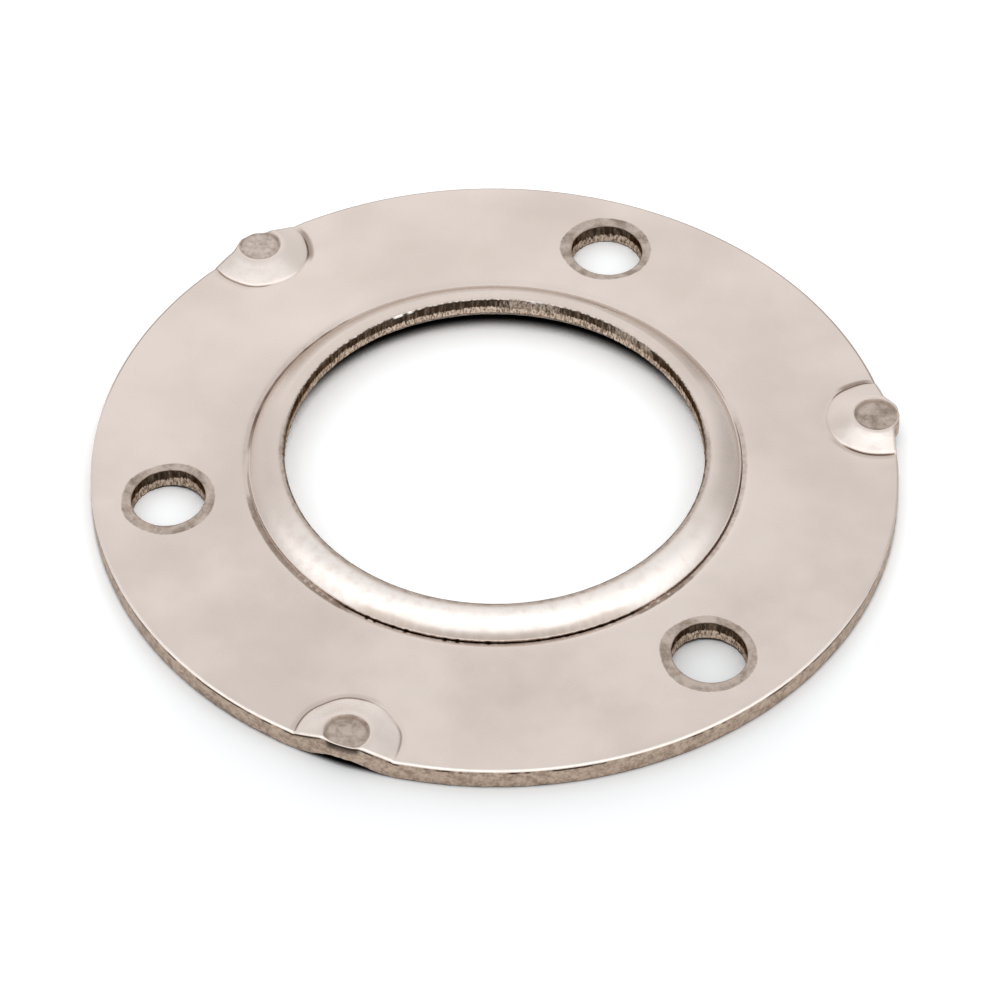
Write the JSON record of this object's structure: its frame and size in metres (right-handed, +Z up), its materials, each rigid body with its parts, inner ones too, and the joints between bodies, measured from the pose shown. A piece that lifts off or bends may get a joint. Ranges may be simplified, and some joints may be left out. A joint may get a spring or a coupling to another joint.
{
  "type": "round base plate",
  "caption": "Round stamped steel base plate with a flared collar round a central tube hole, coined screw holes on a circle and dimpled pads at the rim.",
  "frame": {"origin": "centre of the screw-hole circle, on the plane of the underside of the rim, which rests on the wall or floor", "axes": "+Z up through the centre hole, out of the raised side of the collar; +Y from the centre towards a screw hole; the middle pad lies on -Y"},
  "size_m": [0.08, 0.0807, 0.0045],
  "materials": {
    "plate_steel": "stamped and tumbled warm grey steel, softly glossy on the faces and matt where it was coined"
  },
  "bodies": {
    "root": {"base_plate": "plate_steel"}
  },
  "joints": []
}
